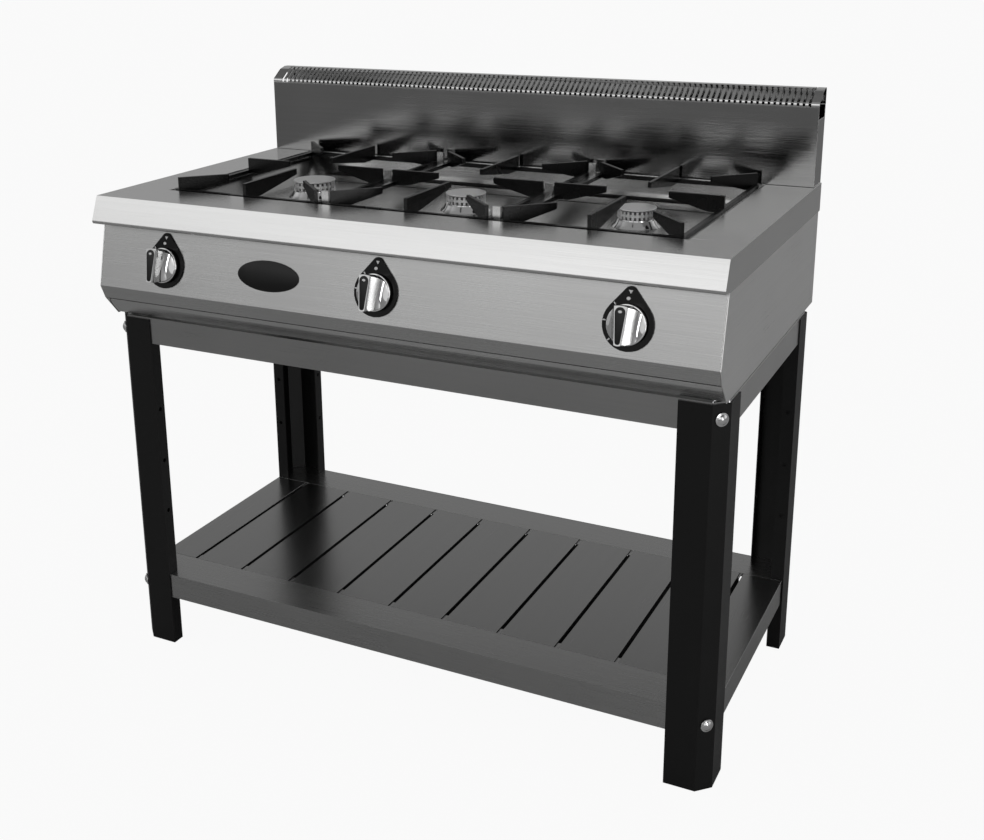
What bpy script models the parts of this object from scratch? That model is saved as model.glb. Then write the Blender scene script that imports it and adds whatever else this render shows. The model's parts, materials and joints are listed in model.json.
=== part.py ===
"""A three-burner propane range top on an open four-legged stand.

The stand is folded sheet legs, rails and a slatted shelf. The range top is a sheet-metal body with
a sunken hob, three burners with lift-off caps and grates, three push-and-turn gas taps, a pull-out
drip tray and a flue backsplash. Metres, +Z up, the front faces -Y, the origin is on the floor.
"""

import math

import bmesh
import bpy
from mathutils import Matrix, Vector

# Sheet and clearances
GAP = 0.0003
SHEET = 0.0015
LEG_SHEET = 0.002

# Stand
LEG_X = 0.5455
LEG_TOP = 0.632
FLANGE = 0.0718
CHAMFER = 0.0213
LIP = 0.0232
LIP_HOLE = 0.004
LIP_HOLE_Z = [0.266, 0.364, 0.462]
RAIL_BOTTOM, RAIL_TOP = 0.5876, 0.6345
SHELF_TOP, APRON = 0.140, 0.046
SHELF_BORDER = 0.0763
SLATS, SLAT_PITCH, SLOT = 9, 0.1046, 0.007
BOLT_Z = [0.609, 0.114]

# Body, worktop and panel; depths are measured forward from the rear face
BODY_X, BODY_BOTTOM = 0.5432, 0.6366
TOP_X, TOP_Z, SKIRT_BOTTOM = 0.5450, 0.850, 0.8012
LEGS_REAR, LEGS_FRONT = 0.0304, 0.5670
TOP_FRONT, NOSE_FRONT, NOSE_RETURN, NOSE_BOTTOM = 0.5909, 0.6071, 0.5800, 0.8035
PANEL_TOP = (0.5797, 0.8003)
KNUCKLE = (0.6037, 0.695)
RETURN = (0.5940, 0.6715)
SIDE_FRONT = 0.5650

# Hob
HOB_X, HOB_FRONT, HOB_REAR = 0.4625, 0.5032, 0.0535
HOB_FLOOR, FLOOR_X, FLOOR_REAR = 0.811, 0.400, 0.018
BURNER_PITCH = 0.308
CAP_RADII = {"left": 0.038, "middle": 0.035, "right": 0.032}
CAP_TOP = 0.842
GRATE_X, GRATE_TOP, GRATE_FOOT, BAR_TOP = 0.144, 0.871, 0.8436, 0.8506
GRATE_INSET = 0.0075
FINGER = 0.006

# Taps
KNOB_PITCH, KNOB_UP = 0.406, 0.0485
KNOB_R, KNOB_DEPTH, GRIP_HALF = 0.0295, 0.042, 0.028
BEZEL_R, BEZEL_PEAK = 0.0385, 0.0545
PUSH = 0.003
PANEL_HOLE = 0.0085
PIPE_R, VALVE_END = 0.009, -0.036
INLET_X, INLET_Z = 0.500, 0.720
BURNER_STUB, STUB_HOLE = 0.014, 0.0155

# Backsplash
SPLASH_X, SPLASH_FRONT, SPLASH_SIDE_TOP = 0.5430, 0.0523, 0.964
CAP_LIP, CAP_FOOT = 0.9912, 0.985

SIDES = {"left": -1, "middle": 0, "right": 1}

# The panel leans back as it rises. UP runs up its face and OUT stands on it.
face = Vector((0, KNUCKLE[0] - PANEL_TOP[0], PANEL_TOP[1] - KNUCKLE[1]))
UP = face.normalized()
OUT = Vector((0, -UP.z, UP.y))
KNOB_BACK = KNUCKLE[0] - UP.y * KNOB_UP
BACK = (KNOB_BACK - OUT.y * KNOB_DEPTH + UP.y * GRIP_HALF) / 2


def y_at(depth):
    """World y of a place this far forward of the rear face."""
    return BACK - depth


HOB_Y = y_at((HOB_FRONT + HOB_REAR) / 2)
GRATE_FRONT = y_at(HOB_FRONT - GRATE_INSET)
GRATE_REAR = y_at(HOB_REAR + GRATE_INSET)

for old in list(bpy.data.objects):
    bpy.data.objects.remove(old)


def collection(name):
    made = bpy.data.collections.new(name)
    bpy.context.scene.collection.children.link(made)
    return made


parts = collection("propane_burner_stand")
helpers = collection("cutters")


def material(name, colour, roughness, metallic):
    made = bpy.data.materials.new(name)
    made.use_nodes = True
    shader = made.node_tree.nodes["Principled BSDF"]
    shader.inputs["Base Color"].default_value = (*colour, 1)
    shader.inputs["Roughness"].default_value = roughness
    shader.inputs["Metallic"].default_value = metallic
    return made


STEEL = ((0.55, 0.55, 0.54), 0.30, 1.0)
BRIGHT = ((0.80, 0.80, 0.80), 0.12, 1.0)
PAINT = ((0.012, 0.012, 0.012), 0.45, 0.0)
ENAMEL = ((0.02, 0.02, 0.02), 0.35, 0.0)
PLASTIC = ((0.015, 0.015, 0.015), 0.25, 0.0)
BRASS = ((0.70, 0.52, 0.22), 0.30, 1.0)


def place(mesh, name, finish, helper=False):
    """Puts a mesh in the scene as a named part with its own material, or as a hidden helper."""
    obj = bpy.data.objects.new(name, mesh)
    (helpers if helper else parts).objects.link(obj)
    if helper:
        obj.hide_render = True
        obj.display_type = "WIRE"
    else:
        mesh.materials.append(material(name, *finish))
    return obj


def mesh_of(bm, name):
    bmesh.ops.recalc_face_normals(bm, faces=bm.faces)
    mesh = bpy.data.meshes.new(name)
    bm.to_mesh(mesh)
    bm.free()
    return mesh


def add_box(bm, lo, hi):
    lo, hi = Vector(lo), Vector(hi)
    size = Matrix.Diagonal((*(hi - lo), 1))
    bmesh.ops.create_cube(bm, size=1, matrix=Matrix.Translation((lo + hi) / 2) @ size)


def turn_to(axis, centre):
    """A matrix that puts local Z along the axis, at the centre."""
    return Matrix.Translation(centre) @ Vector(axis).to_track_quat("Z", "Y").to_matrix().to_4x4()


def add_rod(bm, centre, axis, radius, length, sides=10):
    bmesh.ops.create_cone(
        bm,
        cap_ends=True,
        segments=sides,
        radius1=radius,
        radius2=radius,
        depth=length,
        matrix=turn_to(axis, centre),
    )


def shapes(name, *made, finish=STEEL, helper=False):
    """One object of boxes (lo, hi) and rods (centre, axis, radius, length) that don't touch."""
    bm = bmesh.new()
    for shape in made:
        (add_box if len(shape) == 2 else add_rod)(bm, *shape)
    return place(mesh_of(bm, name), name, finish, helper)


def plane_point(axis, u, v, w):
    """Local (u, v) with w along the axis: X takes (y, z), Y takes (x, z) and Z takes (x, y)."""
    return {"X": (w, u, v), "Y": (u, w, v), "Z": (u, v, w)}[axis]


def outline(name, points, axis, start, end, finish=STEEL, helper=False):
    """A closed outline extruded between two places on the axis."""
    bm = bmesh.new()
    face = bm.faces.new([bm.verts.new(plane_point(axis, u, v, start)) for u, v in points])
    made = bmesh.ops.extrude_face_region(bm, geom=[face])["geom"]
    travel = plane_point(axis, 0, 0, end - start)
    moved = [v for v in made if isinstance(v, bmesh.types.BMVert)]
    bmesh.ops.translate(bm, vec=travel, verts=moved)
    return place(mesh_of(bm, name), name, finish, helper)


def fold(name, path, axis, start, end, finish=STEEL, sheet=SHEET):
    """A folded sheet: a path whose outside is on its left, swept along the axis, then thickened
    inward."""
    bm = bmesh.new()
    rows = [
        [bm.verts.new(plane_point(axis, u, v, w)) for u, v in path]
        for w in (start, end)
    ]
    for i in range(len(path) - 1):
        corners = [rows[0][i], rows[1][i], rows[1][i + 1], rows[0][i + 1]]
        bm.faces.new(corners[::-1] if axis == "Y" else corners)
    mesh = bpy.data.meshes.new(name)
    bm.to_mesh(mesh)
    bm.free()
    obj = place(mesh, name, finish)
    thick = obj.modifiers.new("thickness", "SOLIDIFY")
    thick.thickness = sheet
    thick.offset = -1
    thick.use_even_offset = True
    return obj


def turned(name, profile, centre, axis=(0, 0, 1), finish=STEEL, steps=24, helper=False):
    """A solid of revolution: a closed run of (radius, height) points from top to bottom."""
    mesh = bpy.data.meshes.new(name)
    points = [(r, 0, h) for r, h in profile]
    mesh.from_pydata(points, [(i, i + 1) for i in range(len(points) - 1)], [])
    obj = place(mesh, name, finish, helper)
    obj.matrix_world = turn_to(axis, centre)
    screw = obj.modifiers.new("turn", "SCREW")
    screw.steps = screw.render_steps = steps
    screw.use_merge_vertices = True
    screw.merge_threshold = 1e-5
    return obj


def tube(name, points, radius, finish, resolution=2, helper=False):
    """A round bar or pipe along a POLY spline, as a closed mesh."""
    curve = bpy.data.curves.new(name, "CURVE")
    curve.dimensions = "3D"
    curve.bevel_depth = radius
    curve.bevel_resolution = resolution
    curve.use_fill_caps = True
    spline = curve.splines.new("POLY")
    spline.points.add(len(points) - 1)
    for point, at in zip(spline.points, points):
        point.co = (*at, 1)
    wire = bpy.data.objects.new(name, curve)
    bpy.context.scene.collection.objects.link(wire)
    graph = bpy.context.evaluated_depsgraph_get()
    mesh = bpy.data.meshes.new_from_object(wire.evaluated_get(graph))
    bpy.data.objects.remove(wire)
    bm = bmesh.new()
    bm.from_mesh(mesh)
    bmesh.ops.remove_doubles(bm, verts=bm.verts, dist=1e-6)
    return place(mesh_of(bm, name), name, finish, helper)


def combine(obj, other, operation):
    step = obj.modifiers.new(operation.lower(), "BOOLEAN")
    step.operation = operation
    step.object = other
    step.solver = "EXACT"
    return obj


def cut(obj, *made):
    """Cuts boxes and rods that don't touch each other out of the part."""
    return combine(obj, shapes(obj.name + "_cutter", *made, helper=True), "DIFFERENCE")


def join(obj, *others):
    for other in others:
        combine(obj, other, "UNION")
    return obj


def arc(centre, radius, start, end, steps):
    """Points on an arc, with angles in degrees."""
    for i in range(steps + 1):
        turn = math.radians(start + (end - start) * i / steps)
        yield centre[0] + radius * math.cos(turn), centre[1] + radius * math.sin(turn)


# ---- Stand ----

LEG_FACES = {-1: y_at(LEGS_FRONT), 1: y_at(LEGS_REAR)}
INSIDE = LEG_SHEET + GAP
CORNERS = {
    "front_left": (-1, -1),
    "front_right": (1, -1),
    "rear_left": (-1, 1),
    "rear_right": (1, 1),
}


def corner_point(sx, sy, across, along):
    """A plan point this far in from a leg's side face and this far in from its front or rear face."""
    return sx * (LEG_X - across), LEG_FACES[sy] - sy * along


def leg(name, sx, sy):
    """A folded corner post: two flanges, a flat across the corner and a lip along each inner edge."""
    insets = [
        (LIP, FLANGE),
        (0, FLANGE),
        (0, CHAMFER),
        (CHAMFER, 0),
        (FLANGE, 0),
        (FLANGE, LIP),
    ]
    path = [corner_point(sx, sy, *place) for place in insets]
    post = fold(
        name, path if sx * sy < 0 else path[::-1], "Z", 0, LEG_TOP, PAINT, LEG_SHEET
    )
    notches = []
    for low, high in ((SHELF_TOP - APRON - GAP, SHELF_TOP + GAP), (RAIL_BOTTOM - GAP, 1)):
        for flip in (False, True):
            near = (FLANGE - LEG_SHEET - GAP, LEG_SHEET + GAP / 3)
            far = (FLANGE + LIP, LIP * 2)
            a = corner_point(sx, sy, *(near[::-1] if flip else near))
            b = corner_point(sx, sy, *(far[::-1] if flip else far))
            lo = (min(a[0], b[0]), min(a[1], b[1]), low)
            hi = (max(a[0], b[0]), max(a[1], b[1]), high)
            notches.append((lo, hi))
    holes = []
    for z in LIP_HOLE_Z:
        at = corner_point(sx, sy, FLANGE, LIP / 2)
        holes.append(((*at, z), (1, 0, 0), LIP_HOLE, LIP / 2))
        at = corner_point(sx, sy, LIP / 2, FLANGE)
        holes.append(((*at, z), (0, 1, 0), LIP_HOLE, LIP / 2))
    for z in BOLT_Z:
        at = corner_point(sx, sy, CHAMFER / 2, CHAMFER / 2)
        holes.append(((*at, z), (sx, sy, 0), 0.0045, LIP))
    return cut(post, *notches, *holes)


def bolt(name, sx, sy, z):
    """A dome-headed bolt through the corner flat, with its nut behind the rail's end tab."""
    head, shank, nut = 0.0105, 0.004, 0.0075
    tab = LEG_SHEET + 2 * GAP + SHEET
    profile = [
        (0, 0.0055),
        (0.0060, 0.0046),
        (0.0095, 0.0020),
        (head, GAP),
        (shank, GAP),
        (shank, -tab),
        (nut, -tab),
        (nut, -tab - 0.006),
        (shank, -tab - 0.006),
        (shank, -tab - 0.009),
        (0, -tab - 0.009),
    ]
    at = corner_point(sx, sy, CHAMFER / 2, CHAMFER / 2)
    return turned(name, profile, (*at, z), (sx, sy, 0), BRIGHT, steps=10)


def end_tabs(sy):
    """Plan path behind the leg faces from end to end, with a tab behind each corner flat."""
    slide = INSIDE * (math.sqrt(2) - 1)
    right = [
        corner_point(1, sy, CHAMFER + slide - 0.0150, INSIDE + 0.0150),
        corner_point(1, sy, CHAMFER + slide, INSIDE),
    ]
    return right + [(-x, y) for x, y in right[::-1]]


def cross_rail(name, sy, bottom, top):
    """A front or rear web with bolt holes in its end tabs."""
    path = end_tabs(sy)
    web = fold(name, path if sy < 0 else path[::-1], "Z", bottom, top)
    z = next(z for z in BOLT_Z if bottom < z < top)
    at = [corner_point(sx, sy, CHAMFER / 2, CHAMFER / 2) for sx in (-1, 1)]
    return cut(
        web,
        ((*at[0], z), (-1, sy, 0), 0.0045, LIP),
        ((*at[1], z), (1, sy, 0), 0.0045, LIP),
    )


def top_rail(name, sy):
    rail = cross_rail(name, sy, RAIL_BOTTOM, RAIL_TOP)
    face = LEG_FACES[sy] - sy * (INSIDE + SHEET / 2)
    reach = LEG_X - CHAMFER - 0.003
    for edge, (low, high) in {
        "upper": (RAIL_TOP - SHEET - 0.0002, RAIL_TOP - 0.0002),
        "lower": (RAIL_BOTTOM + 0.0002, RAIL_BOTTOM + SHEET + 0.0002),
    }.items():
        ys = sorted([face, face - sy * 0.018])
        flange = ((-reach, ys[0], low), (reach, ys[1], high))
        join(rail, shapes(f"{name}_{edge}", flange, helper=True))
    return rail


def side_rail(name, sx):
    """A channel between the front and rear legs."""
    start = y_at(LEGS_FRONT) + CHAMFER + 0.0045
    end = y_at(LEGS_REAR) - CHAMFER - 0.0045
    web, lip = LEG_X - INSIDE, 0.018
    path = [
        (web - lip, RAIL_BOTTOM),
        (web, RAIL_BOTTOM),
        (web, RAIL_TOP),
        (web - lip, RAIL_TOP),
    ]
    path = [(sx * x, z) for x, z in path]
    return fold(name, path[::-1] if sx > 0 else path, "Y", start, end)


def shelf_end(name, sy):
    """The front or rear shelf member: apron, top border and a sunk ledge for the slats."""
    member = cross_rail(name, sy, SHELF_TOP - APRON, SHELF_TOP)
    inner = LEG_FACES[sy] - sy * SHELF_BORDER
    edge = LEG_X - INSIDE
    start = CHAMFER - 0.001
    border = [
        corner_point(1, sy, INSIDE, CHAMFER + 0.002),
        corner_point(1, sy, start, INSIDE + SHEET / 2),
        corner_point(-1, sy, start, INSIDE + SHEET / 2),
        corner_point(-1, sy, INSIDE, CHAMFER + 0.002),
        (-edge, inner),
        (edge, inner),
    ]
    high = SHELF_TOP - 0.0002
    border[1] = (border[1][0] - 0.003, border[1][1])
    border[2] = (border[2][0] + 0.003, border[2][1])
    top = outline(name + "_border", border, "Z", high - SHEET, high, helper=True)
    ledge_z = high - SHEET - GAP
    reach = SLATS * SLAT_PITCH / 2
    step = [
        (inner + sy * SHEET, high - SHEET / 2),
        (inner + sy * 0.0002, high - SHEET / 2),
        (inner + sy * 0.0002, ledge_z),
        (inner - sy * 0.018, ledge_z),
        (inner - sy * 0.018, ledge_z - SHEET),
        (inner + sy * SHEET, ledge_z - SHEET),
    ]
    ledge = outline(name + "_ledge", step, "X", -reach, reach, helper=True)
    return join(member, top, ledge)


def shelf_side(name, sx):
    """The left or right shelf border: an apron and a top that fills in between the end members."""
    front = y_at(LEGS_FRONT) + SHELF_BORDER + GAP
    rear = y_at(LEGS_REAR) - SHELF_BORDER - GAP
    outer = LEG_X - INSIDE
    inner = SLATS * SLAT_PITCH / 2 + SLOT / 2
    path = [
        (outer, SHELF_TOP - APRON),
        (outer, SHELF_TOP - 0.0002),
        (inner, SHELF_TOP - 0.0002),
        (inner, SHELF_TOP - 0.012),
    ]
    path = [(sx * x, z) for x, z in path]
    return fold(name, path[::-1] if sx > 0 else path, "Y", front, rear)


def slat(name, x):
    """A flat plank with stiffening edges that stop short of the ledges."""
    half = (SLAT_PITCH - SLOT) / 2
    front = y_at(LEGS_FRONT) + SHELF_BORDER + GAP
    rear = y_at(LEGS_REAR) - SHELF_BORDER - GAP
    top = SHELF_TOP - 0.0002
    plank = shapes(name, ((x - half, front, top - SHEET), (x + half, rear, top)))
    for side in (-1, 1):
        xs = sorted([x + side * (half - 0.0002), x + side * (half - 0.0002 - SHEET)])
        edge = ((xs[0], front + 0.020, top - 0.010), (xs[1], rear - 0.020, top - SHEET / 2))
        join(plank, shapes(f"{name}_edge_{side}", edge, helper=True))
    return plank


for where, (sx, sy) in CORNERS.items():
    leg("leg_" + where, sx, sy)
    bolt("top_bolt_" + where, sx, sy, BOLT_Z[0])
    bolt("shelf_bolt_" + where, sx, sy, BOLT_Z[1])
for where, sy in (("front", -1), ("rear", 1)):
    top_rail("rail_" + where, sy)
    shelf_end("shelf_" + where, sy)
for where, sx in (("left", -1), ("right", 1)):
    side_rail("rail_" + where, sx)
    shelf_side("shelf_" + where, sx)
for i in range(SLATS):
    slat(f"shelf_slat_{i + 1}", (i - (SLATS - 1) / 2) * SLAT_PITCH)


# ---- Body ----

def tap_origin(side):
    """Where the tap's axis crosses the panel's face."""
    foot = Vector((side * KNOB_PITCH, y_at(KNUCKLE[0]), KNUCKLE[1]))
    return foot + UP * KNOB_UP


def control_panel():
    path = [
        (0.5610, RETURN[1]),
        RETURN,
        KNUCKLE,
        PANEL_TOP,
        (0.5560, PANEL_TOP[1]),
    ]
    path = [(y_at(depth), z) for depth, z in path]
    reach = BODY_X - SHEET - GAP
    panel = fold("control_panel", path, "X", -reach, reach)
    holes = [(tap_origin(s), OUT, PANEL_HOLE, 0.02) for s in SIDES.values()]
    return cut(panel, *holes)


def body_side(name, sx):
    """A flat side with a floor flange that the drip tray slides on."""
    under_top = TOP_Z - SHEET - GAP
    profile = [
        (0.0018, BODY_BOTTOM),
        (SIDE_FRONT, BODY_BOTTOM),
        RETURN,
        KNUCKLE,
        PANEL_TOP,
        (0.5550, PANEL_TOP[1]),
        (0.5550, under_top),
        (0.0018, under_top),
    ]
    profile = [(y_at(depth), z) for depth, z in profile]
    xs = sorted([sx * BODY_X, sx * (BODY_X - SHEET)])
    side = outline(name, profile, "X", *xs)
    xs = sorted([sx * (BODY_X - SHEET / 2), sx * (BODY_X - 0.026)])
    low = BODY_BOTTOM + 0.0002
    flange = ((xs[0], y_at(0.545), low), (xs[1], y_at(0.010), low + SHEET))
    return join(side, shapes(name + "_flange", flange, helper=True))


def body_back():
    reach = BODY_X - SHEET - GAP
    rear = ((-reach, y_at(0.0033), BODY_BOTTOM), (reach, y_at(0.0018), TOP_Z - SHEET - GAP))
    plate = shapes("body_back", rear)
    return cut(plate, ((INLET_X, y_at(0.0025), INLET_Z), (0, 1, 0), 0.0125, 0.02))


def inset(path, distance):
    """The path moved to its right, with its corners kept sharp."""
    points = [Vector(point) for point in path]
    normals = []
    for start, end in zip(points, points[1:]):
        run = (end - start).normalized()
        normals.append(Vector((run.y, -run.x)))
    before, after = [normals[0]] + normals, normals + [normals[-1]]
    for point, a, b in zip(points, before, after):
        yield tuple(point + (a + b) * distance / (1 + a.dot(b)))


def worktop():
    """A shallow lid with a sloped nosing that rolls under, cut out over the hob and the flue."""
    roll = 0.005
    nose = (y_at(NOSE_FRONT) + roll, NOSE_BOTTOM + roll)
    slope = math.degrees(math.atan2(TOP_Z - nose[1], NOSE_FRONT - TOP_FRONT))
    lip, below = y_at(NOSE_RETURN), SKIRT_BOTTOM - 0.01
    path = [(lip, NOSE_BOTTOM)]
    path += arc(nose, roll, 270, 90 + slope, 4)
    path += [(y_at(TOP_FRONT), TOP_Z), (BACK, TOP_Z), (BACK, SKIRT_BOTTOM)]
    top = outline("worktop", [(lip, SKIRT_BOTTOM), *path], "X", -TOP_X, TOP_X)
    under = list(inset(path, SHEET))
    lip -= 0.0001
    room = [(lip, below), (lip, under[0][1]), *under[1:-1], (under[-1][0], below)]
    reach = TOP_X - SHEET
    combine(top, outline("worktop_inside", room, "X", -reach, reach, helper=True), "DIFFERENCE")
    hob = ((-HOB_X, y_at(HOB_FRONT), 0.83), (HOB_X, y_at(HOB_REAR), 0.87))
    flue = ((-0.45, y_at(0.0430), 0.83), (0.45, y_at(0.0100), 0.87))
    return cut(top, hob, flue)


def hob_tray():
    """The sunk hob floor with sloped flanks, burner holes and two bridges that carry the grates."""
    rim = TOP_Z - SHEET - GAP
    rings = [
        (HOB_X + 0.012, HOB_FRONT + 0.012, FLOOR_REAR - 0.002, rim),
        (HOB_X + 0.0005, HOB_FRONT + 0.0005, FLOOR_REAR, rim),
        (FLOOR_X, HOB_FRONT - 0.004, FLOOR_REAR + 0.003, HOB_FLOOR),
    ]
    bm = bmesh.new()
    loops = []
    for x, front, rear, z in rings:
        square = ((-x, front), (x, front), (x, rear), (-x, rear))
        loops.append([bm.verts.new((u, y_at(v), z)) for u, v in square])
    for outer, inner in zip(loops, loops[1:]):
        for i in range(4):
            j = (i + 1) % 4
            bm.faces.new((outer[i], outer[j], inner[j], inner[i]))
    bm.faces.new(loops[-1])
    mesh = bpy.data.meshes.new("hob_tray")
    bm.to_mesh(mesh)
    bm.free()
    tray = place(mesh, "hob_tray", STEEL)
    thick = tray.modifiers.new("thickness", "SOLIDIFY")
    thick.thickness = SHEET
    thick.offset = -1
    thick.use_even_offset = True
    for s in (-1, 1):
        x = s * BURNER_PITCH / 2
        name = f"hob_bridge_{s}"
        top = GRATE_FOOT - GAP
        ends = (y_at(HOB_FRONT - 0.0002), y_at(FLOOR_REAR + 0.0002))
        strip = ((x - 0.011, ends[0], top - 0.002), (x + 0.011, ends[1], top))
        join(tray, shapes(name, strip, helper=True))
        posts = []
        for place_y in (GRATE_FRONT + 0.012, HOB_Y, GRATE_REAR - 0.012):
            lo = (x - 0.0065, place_y - 0.003, top - 0.001)
            hi = (x + 0.0065, place_y + 0.003, GRATE_TOP - 0.002)
            posts.append((lo, hi))
        join(tray, shapes(name + "_posts", *posts, helper=True))
    centres = [(s * BURNER_PITCH, HOB_Y, HOB_FLOOR) for s in SIDES.values()]
    return cut(tray, *[(centre, (0, 0, 1), STUB_HOLE, 0.02) for centre in centres])


def drip_tray():
    """A shallow pan with a sloped front strip, which slides out forward on the side flanges."""
    low, high, wall = BODY_BOTTOM + 0.0002 + SHEET + GAP, 0.6635, 0.0012
    reach, front, rear = BODY_X - 0.0075, 0.5600, 0.0160
    pan = shapes("drip_tray", ((-reach, y_at(front), low), (reach, y_at(rear), high)))
    inner = (
        (-reach + wall, y_at(front - wall), low + wall),
        (reach - wall, y_at(rear + wall), high + 0.01),
    )
    cut(pan, inner)
    strip = [
        (y_at(front - 0.0006), low + 0.0005),
        (y_at(front + 0.0060), low + 0.0005),
        (y_at(front + 0.0170), 0.6520),
        (y_at(front + 0.0225), 0.6600),
        (y_at(front + 0.0225), 0.6665),
        (y_at(front + 0.0205), 0.6665),
        (y_at(front + 0.0185), 0.6610),
        (y_at(front + 0.0040), 0.6420),
        (y_at(front - 0.0006), 0.6420),
    ]
    edge = BODY_X - SHEET - 0.001
    return join(pan, outline("drip_tray_front", strip, "X", -edge, edge, helper=True))


control_panel()
body_side("body_left", -1)
body_side("body_right", 1)
body_back()
worktop()
hob_tray()
drip_tray()


def backsplash():
    """A flue box with open ends at the top and bottom, whose sides stop below the vent cap."""
    front, rear = y_at(SPLASH_FRONT), BACK - GAP
    low, high = TOP_Z + GAP, CAP_FOOT - GAP
    box = shapes("backsplash", ((-SPLASH_X, front, low), (SPLASH_X, rear, high)))
    inner = (
        (-SPLASH_X + SHEET, front + SHEET, low - 0.01),
        (SPLASH_X - SHEET, rear - SHEET, high + 0.01),
    )
    cut(box, inner)
    notch = SPLASH_SIDE_TOP
    ends = [
        ((s * SPLASH_X - 0.01, front + SHEET, notch), (s * SPLASH_X + 0.01, rear - SHEET, high + 0.01))
        for s in (-1, 1)
    ]
    return combine(box, shapes("backsplash_ends", *ends, helper=True), "DIFFERENCE")


def vent_cap():
    """The folded cap over the flue: a lip, two slopes, a flat ridge and a rear skirt."""
    front = y_at(SPLASH_FRONT)
    path = [
        (front, CAP_FOOT),
        (front, CAP_LIP),
        (front + 0.025, CAP_LIP + 0.017),
        (front + 0.041, CAP_LIP + 0.0214),
        (BACK - GAP, CAP_LIP + 0.0214),
        (BACK - GAP, CAP_FOOT),
    ]
    return fold("vent_cap", path, "X", -SPLASH_X, SPLASH_X)


backsplash()
vent_cap()


# ---- Burners, grates and gas train ----


def burner(side, radius):
    """A cast burner head: a stub under the tray, a flared skirt, a groove and the flame ring."""
    x = SIDES[side] * BURNER_PITCH
    base, ring = HOB_FLOOR + GAP, CAP_TOP - 0.0035
    groove = base + 0.0125
    profile = [
        (0, ring),
        (radius - 0.001, ring),
        (radius - 0.001, groove + 0.001),
        (radius - 0.003, groove + 0.001),
        (radius - 0.003, groove),
        (radius + 0.001, groove),
        (radius + 0.0095, base),
        (BURNER_STUB, base),
        (BURNER_STUB, base - 0.026),
        (0, base - 0.026),
    ]
    turned("burner_" + side, profile, (x, HOB_Y, 0), finish=BRIGHT, steps=24)
    disc = [
        (0, CAP_TOP),
        (radius - 0.0008, CAP_TOP),
        (radius, CAP_TOP - 0.0008),
        (radius, ring + GAP),
        (0, ring + GAP),
    ]
    turned("burner_cap_" + side, disc, (x, HOB_Y, 0), finish=BRIGHT, steps=24)


def finger(name, start, end, tip):
    """A bar on edge from start to end in plan, tall at the rim and tapered to the tip."""
    start, end = Vector(start), Vector(end)
    run = end - start
    side = Vector((-run.y, run.x)).normalized() * FINGER / 2
    bm = bmesh.new()
    section = [(0, GRATE_FOOT), (0, GRATE_TOP), (1, GRATE_TOP), (1, GRATE_TOP - tip), (0.28, GRATE_FOOT)]
    rows = []
    for way in (-1, 1):
        row = []
        for share, z in section:
            at = start + run * share + side * way
            row.append(bm.verts.new((at.x, at.y, z)))
        rows.append(row)
    bm.faces.new(rows[0])
    bm.faces.new(rows[1][::-1])
    count = len(section)
    for i in range(count):
        j = (i + 1) % count
        bm.faces.new((rows[0][j], rows[0][i], rows[1][i], rows[1][j]))
    return place(mesh_of(bm, name), name, ENAMEL, helper=True)


def grate(side):
    """A welded pan support: a low frame of flat bar with eight upright fingers."""
    x, bar = SIDES[side] * BURNER_PITCH, 0.008
    lo, hi = (x - GRATE_X, GRATE_FRONT), (x + GRATE_X, GRATE_REAR)
    frame = shapes("grate_" + side, ((*lo, GRATE_FOOT), (*hi, BAR_TOP)), finish=ENAMEL)
    cut(frame, ((lo[0] + bar, lo[1] + bar, 0.8), (hi[0] - bar, hi[1] - bar, 0.9)))
    in_x, in_y, diagonal, sunk = 0.053, 0.061, 0.062, 0.0005
    fingers = []
    for sx in (-1, 1):
        edge = x + sx * (GRATE_X - sunk)
        fingers.append(((edge, HOB_Y), (x + sx * in_x, HOB_Y)))
        for sy in (-1, 1):
            reach = (GRATE_REAR - GRATE_FRONT) / 2 - sunk
            corner = Vector((edge - sx * FINGER / 2, HOB_Y + sy * (reach - FINGER / 2)))
            fingers.append((corner, corner - Vector((sx, sy)) * diagonal))
    for sy in (-1, 1):
        reach = (GRATE_REAR - GRATE_FRONT) / 2 - sunk
        fingers.append(((x, HOB_Y + sy * reach), (x, HOB_Y + sy * in_y)))
    for i, (start, end) in enumerate(fingers):
        join(frame, finger(f"grate_{side}_finger_{i}", start, end, 0.010))


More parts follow.
